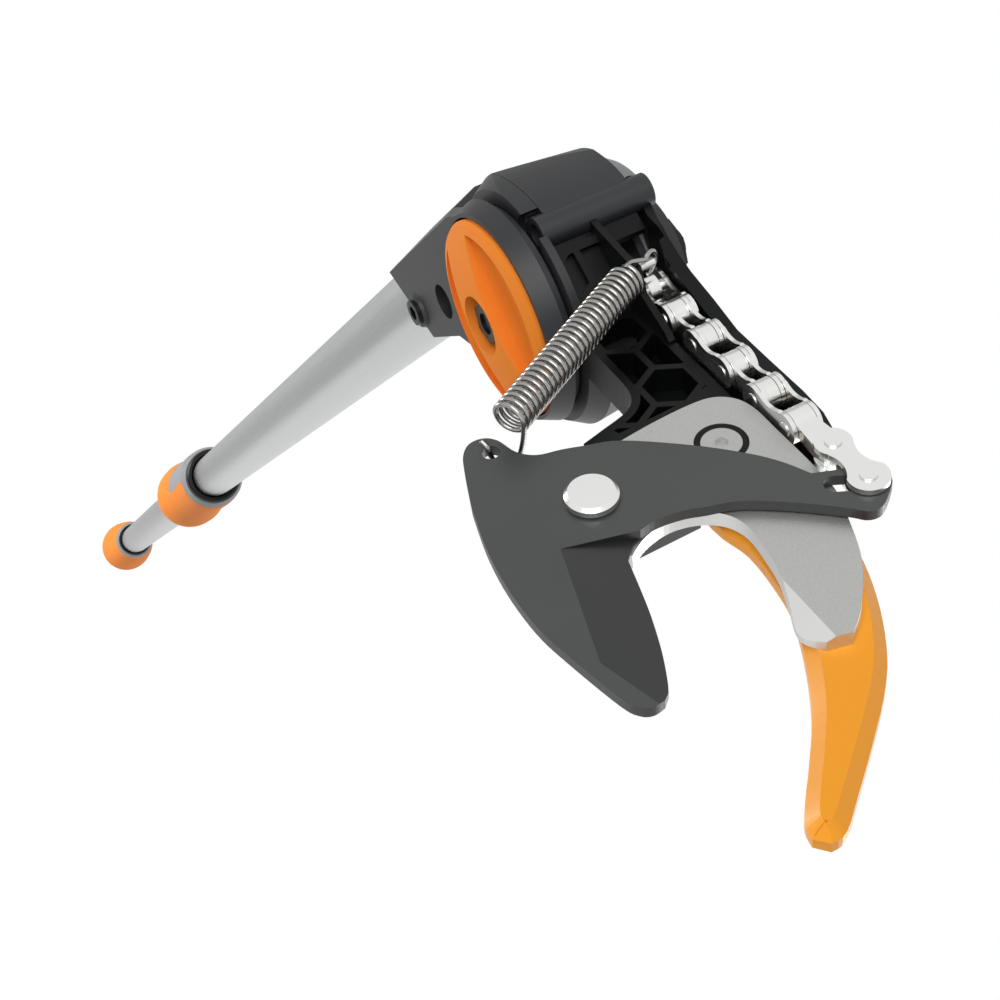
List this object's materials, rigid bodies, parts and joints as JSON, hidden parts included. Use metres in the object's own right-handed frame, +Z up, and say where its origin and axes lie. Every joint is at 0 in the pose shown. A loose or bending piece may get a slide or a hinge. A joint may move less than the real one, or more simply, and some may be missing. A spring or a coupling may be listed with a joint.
{
  "type": "tree pruner pole",
  "caption": "Long pruning pole with a sliding pull handle, an end knob and a leaning hooked bypass cutting head that a chain closes and a spring opens.",
  "frame": {"origin": "centre of the pole's flat foot, under the end knob", "axes": "+Z up the pole, +X along the tilt axis towards the clamp knob, +Y the side to which the head leans"},
  "size_m": [0.1068, 0.1721, 1.688],
  "materials": {
    "tube_aluminium": "satin",
    "charcoal_plastic": "fine grain",
    "grey_plastic": "satin",
    "black_plastic": "satin",
    "orange_plastic": "satin",
    "orange_coat": "satin coat",
    "dark_coat": "low friction coat",
    "bright_steel": "ground",
    "chain_steel": "plated",
    "black_steel": "black oxide",
    "strap_webbing": "woven"
  },
  "bodies": {
    "pole": {"pole_tube": "tube_aluminium", "pole_bracket": "charcoal_plastic", "bracket_screw": "black_steel", "bracket_nut": "black_steel", "tilt_sleeve": "bright_steel", "tilt_bolt": "black_steel", "tilt_nut": "black_steel", "clamp_washer": "bright_steel", "end_knob": "orange_plastic", "end_knob_collar": "grey_plastic", "end_knob_ring": "black_plastic"},
    "slide_handle": {"handle_grip": "orange_plastic", "handle_inlay": "grey_plastic", "handle_collar": "grey_plastic", "handle_ring": "black_plastic", "handle_carriage": "grey_plastic", "handle_pin": "bright_steel", "pull_strap": "strap_webbing"},
    "clamp": {"clamp_knob": "orange_plastic"},
    "head": {"drum_housing": "charcoal_plastic", "near_shell": "charcoal_plastic", "housing_cap": "grey_plastic", "head_frame": "charcoal_plastic", "channel_wall": "charcoal_plastic", "spring_post": "bright_steel", "counter_blade": "bright_steel", "hook": "orange_coat", "rear_plate": "dark_coat", "counter_bolt": "bright_steel", "counter_washer": "black_plastic", "counter_nut": "black_steel", "pivot_bolt": "bright_steel", "pivot_nut": "black_steel", "return_spring": "chain_steel"},
    "drum": {"strap_drum": "grey_plastic", "strap_winding": "strap_webbing", "chain_wheel": "bright_steel", "drum_bush": "bright_steel"},
    "blade": {"cutting_blade": "dark_coat", "blade_bush": "bright_steel"},
    "chain": {"end_link": "chain_steel", "end_link_pins": "chain_steel", "chain_outer_links": "chain_steel", "chain_inner_links": "chain_steel", "chain_rollers": "chain_steel", "chain_pins": "chain_steel", "twist_link": "chain_steel"}
  },
  "joints": [
    {"name": "handle_pull", "type": "slide", "parent": "pole", "child": "slide_handle", "axis": [0, 0, -1], "range_m": [0, 0.0867], "deforming": ["pull_strap"]},
    {"name": "head_tilt", "type": "hinge", "parent": "pole", "child": "head", "pos_m": [0, 0.0215, 1.552], "axis": [1, 0, 0], "range_deg": [-75, 45]},
    {"name": "clamp_turn", "type": "hinge", "parent": "pole", "child": "clamp", "pos_m": [0.02, 0.0215, 1.552], "axis": [1, 0, 0], "range_deg": [0, 360]},
    {"name": "drum_turn", "type": "hinge", "parent": "head", "child": "drum", "pos_m": [0, 0.0215, 1.552], "axis": [1, 0, 0], "range_deg": [0, 231.2]},
    {"name": "chain_pull", "type": "slide", "parent": "head", "child": "chain", "axis": [0, -0.7071, -0.7071], "range_m": [0, 0.0513]},
    {"name": "blade_close", "type": "hinge", "parent": "head", "child": "blade", "pos_m": [0.045, 0.07093, 1.62773], "axis": [0, -0.7071, 0.7071], "range_deg": [0, 52], "stiffness_Nm_per_rad": 0.5, "springref_deg": -57.3, "deforming": ["return_spring"]}
  ],
  "couplings": [
    {"joint": "chain_pull", "follows": "handle_pull", "ratio": 0.5907},
    {"joint": "drum_turn", "follows": "handle_pull", "rad_per_m": 46.512},
    {"joint": "blade_close", "follows": "handle_pull", "rad_per_m": 10.446}
  ]
}
